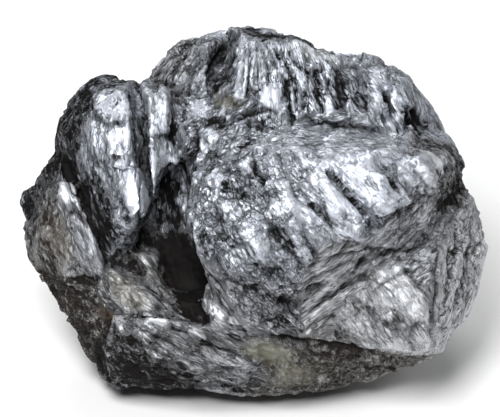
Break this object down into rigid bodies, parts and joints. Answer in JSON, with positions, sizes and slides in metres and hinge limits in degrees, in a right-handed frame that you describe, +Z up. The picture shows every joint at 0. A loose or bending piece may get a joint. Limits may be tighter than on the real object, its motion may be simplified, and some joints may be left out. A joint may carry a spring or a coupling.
{
  "type": "graphite specimen",
  "caption": "Hand specimen of lump graphite: a knot of bright, fluted and flaky broken faces with a deep dark gully, resting on a small flat underside.",
  "frame": {"origin": "centre of the bounding box on the plane the lump rests on", "axes": "+Z up; +X to the viewer's right along the lump's longest extent; -Y towards the viewer, on the side with the blunt nose and the gully"},
  "size_m": [0.101, 0.0742, 0.0731],
  "materials": {
    "graphite": "metallic satin sheen on the broken faces, dull brownish black in the hollows"
  },
  "bodies": {
    "root": {"graphite_lump": "graphite"}
  },
  "joints": []
}
